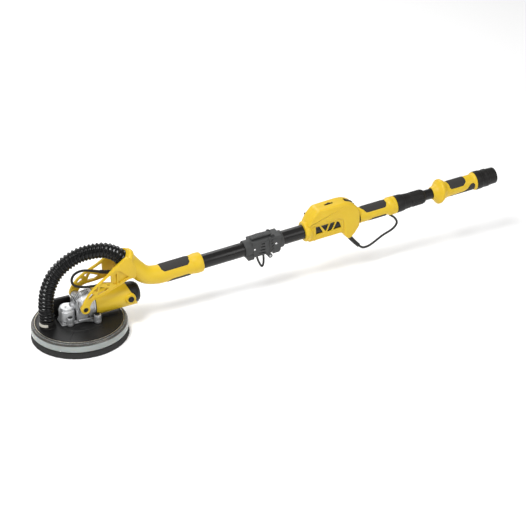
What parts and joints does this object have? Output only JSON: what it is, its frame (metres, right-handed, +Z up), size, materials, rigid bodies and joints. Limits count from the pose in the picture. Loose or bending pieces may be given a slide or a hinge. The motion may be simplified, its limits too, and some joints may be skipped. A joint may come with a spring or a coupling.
{
  "type": "pole drywall sander",
  "caption": "Folding pole drywall sander: a round sanding head with a brush skirt and dust hose, tilting in a yoke on a telescopic pole with a switch housing and grips.",
  "frame": {"origin": "centre of the abrasive disc's face, which lies on the floor at rest", "axes": "+X towards the handle end of the pole, +Z up and away from the abrasive face, +Y to the left looking along the pole from the head"},
  "size_m": [1.339, 0.25, 0.2451],
  "materials": {
    "yellow_plastic": "satin moulded nylon",
    "black_plastic": "fine moulded texture",
    "grey_plastic": "fine moulded texture",
    "grip_rubber": "matte",
    "cable": "matte cable jacket",
    "hose_plastic": "glossy corrugated",
    "black_tube": "black semi-gloss coating",
    "cast_alloy": "die-cast satin",
    "clear_plastic": "frosted clear",
    "circuit_board": "white board",
    "steel": "machined",
    "black_screw": "black oxide steel",
    "copper": "copper windings on a steel core",
    "bristle": "nylon bristles",
    "foam": "soft foam with hook face",
    "abrasive": "abrasive grit on paper"
  },
  "bodies": {
    "front_pole": {"yoke_half_left": "yellow_plastic", "yoke_half_right": "yellow_plastic", "neck_grip_upper": "grip_rubber", "neck_grip_lower": "grip_rubber", "front_tube": "black_tube", "fold_bracket_front": "grey_plastic", "fold_pin": "steel", "fold_cable": "cable", "pivot_bolt_left": "black_screw", "pivot_bolt_right": "black_screw", "dust_hose": "hose_plastic", "head_cable": "cable"},
    "head": {"gear_base": "cast_alloy", "gear_case": "cast_alloy", "case_screw_1": "black_screw", "case_screw_2": "black_screw", "case_screw_3": "black_screw", "case_screw_4": "black_screw", "shroud_plate": "black_plastic", "light_ring": "clear_plastic", "led_strip": "circuit_board", "hose_port": "black_plastic", "driver_box": "black_plastic", "motor_housing": "yellow_plastic", "rear_cap": "black_plastic", "brush_cap_left": "black_plastic", "brush_cap_right": "black_plastic", "motor_gasket": "grip_rubber", "field_core": "steel", "motor_bearing": "steel", "spindle_bearing": "steel"},
    "armature": {"armature": "copper", "cooling_fan": "black_plastic", "motor_pinion": "steel"},
    "idler": {"idler_gear": "steel"},
    "pad": {"spindle": "steel", "output_gear": "steel", "backing_plate": "black_plastic", "foam_pad": "foam", "abrasive_disc": "abrasive", "pad_bolt": "steel"},
    "skirt": {"skirt_carrier": "black_plastic", "brush_skirt": "bristle"},
    "rear_pole": {"fold_bracket_rear": "grey_plastic", "rear_tube": "black_tube", "switch_housing_left": "yellow_plastic", "switch_housing_right": "yellow_plastic", "rear_grip": "yellow_plastic", "rear_grip_upper": "grip_rubber", "rear_grip_lower": "grip_rubber", "pole_sleeve": "black_plastic", "handle_cable": "cable"},
    "latch": {"fold_latch": "grey_plastic"},
    "switch": {"power_switch": "black_plastic"},
    "dial": {"speed_dial": "black_plastic"},
    "collar": {"lock_collar": "black_plastic"},
    "extension": {"inner_tube": "black_tube", "end_handle": "yellow_plastic", "end_grip_upper": "grip_rubber", "hose_connector": "black_plastic"}
  },
  "joints": [
    {"name": "head_tilt", "type": "hinge", "parent": "front_pole", "child": "head", "pos_m": [0.0042, 0, 0.0938], "axis": [0, 1, 0], "range_deg": [0, 85], "deforming": ["dust_hose", "head_cable"]},
    {"name": "pad_spin", "type": "hinge", "parent": "head", "child": "pad", "pos_m": [0, 0, 0.05], "axis": [0, 0, 1], "continuous": true},
    {"name": "idler_spin", "type": "hinge", "parent": "head", "child": "idler", "pos_m": [-0.0301, 0, 0.06], "axis": [0, 0, 1], "continuous": true},
    {"name": "motor_spin", "type": "hinge", "parent": "head", "child": "armature", "pos_m": [0.05, 0, 0.084], "axis": [1, 0, 0], "continuous": true},
    {"name": "skirt_float", "type": "slide", "parent": "head", "child": "skirt", "axis": [0, 0, 1], "range_m": [-0.0015, 0.003], "stiffness_N_per_m": 800},
    {"name": "fold", "type": "hinge", "parent": "front_pole", "child": "rear_pole", "pos_m": [0.52371, 0, 0.10965], "axis": [0, 1, 0], "range_deg": [0, 155], "deforming": ["fold_cable"]},
    {"name": "latch_lift", "type": "hinge", "parent": "rear_pole", "child": "latch", "pos_m": [0.5319, 0, 0.16466], "axis": [0, 1, 0], "range_deg": [0, 80]},
    {"name": "switch_rock", "type": "hinge", "parent": "rear_pole", "child": "switch", "pos_m": [0.76185, 0, 0.20199], "axis": [0, 1, 0], "range_deg": [0, 14]},
    {"name": "dial_turn", "type": "hinge", "parent": "rear_pole", "child": "dial", "pos_m": [0.70414, 0, 0.20297], "axis": [0, 1, 0], "range_deg": [0, 270]},
    {"name": "collar_twist", "type": "hinge", "parent": "rear_pole", "child": "collar", "pos_m": [0.95826, 0, 0.16861], "axis": [0.9976, 0, 0.0698], "range_deg": [0, 90]},
    {"name": "extension_slide", "type": "slide", "parent": "rear_pole", "child": "extension", "axis": [0.9976, 0, 0.0698], "range_m": [0, 0.3]}
  ],
  "couplings": [
    {"joint": "idler_spin", "follows": "pad_spin", "ratio": -3},
    {"joint": "motor_spin", "follows": "pad_spin", "ratio": -8.5714}
  ]
}
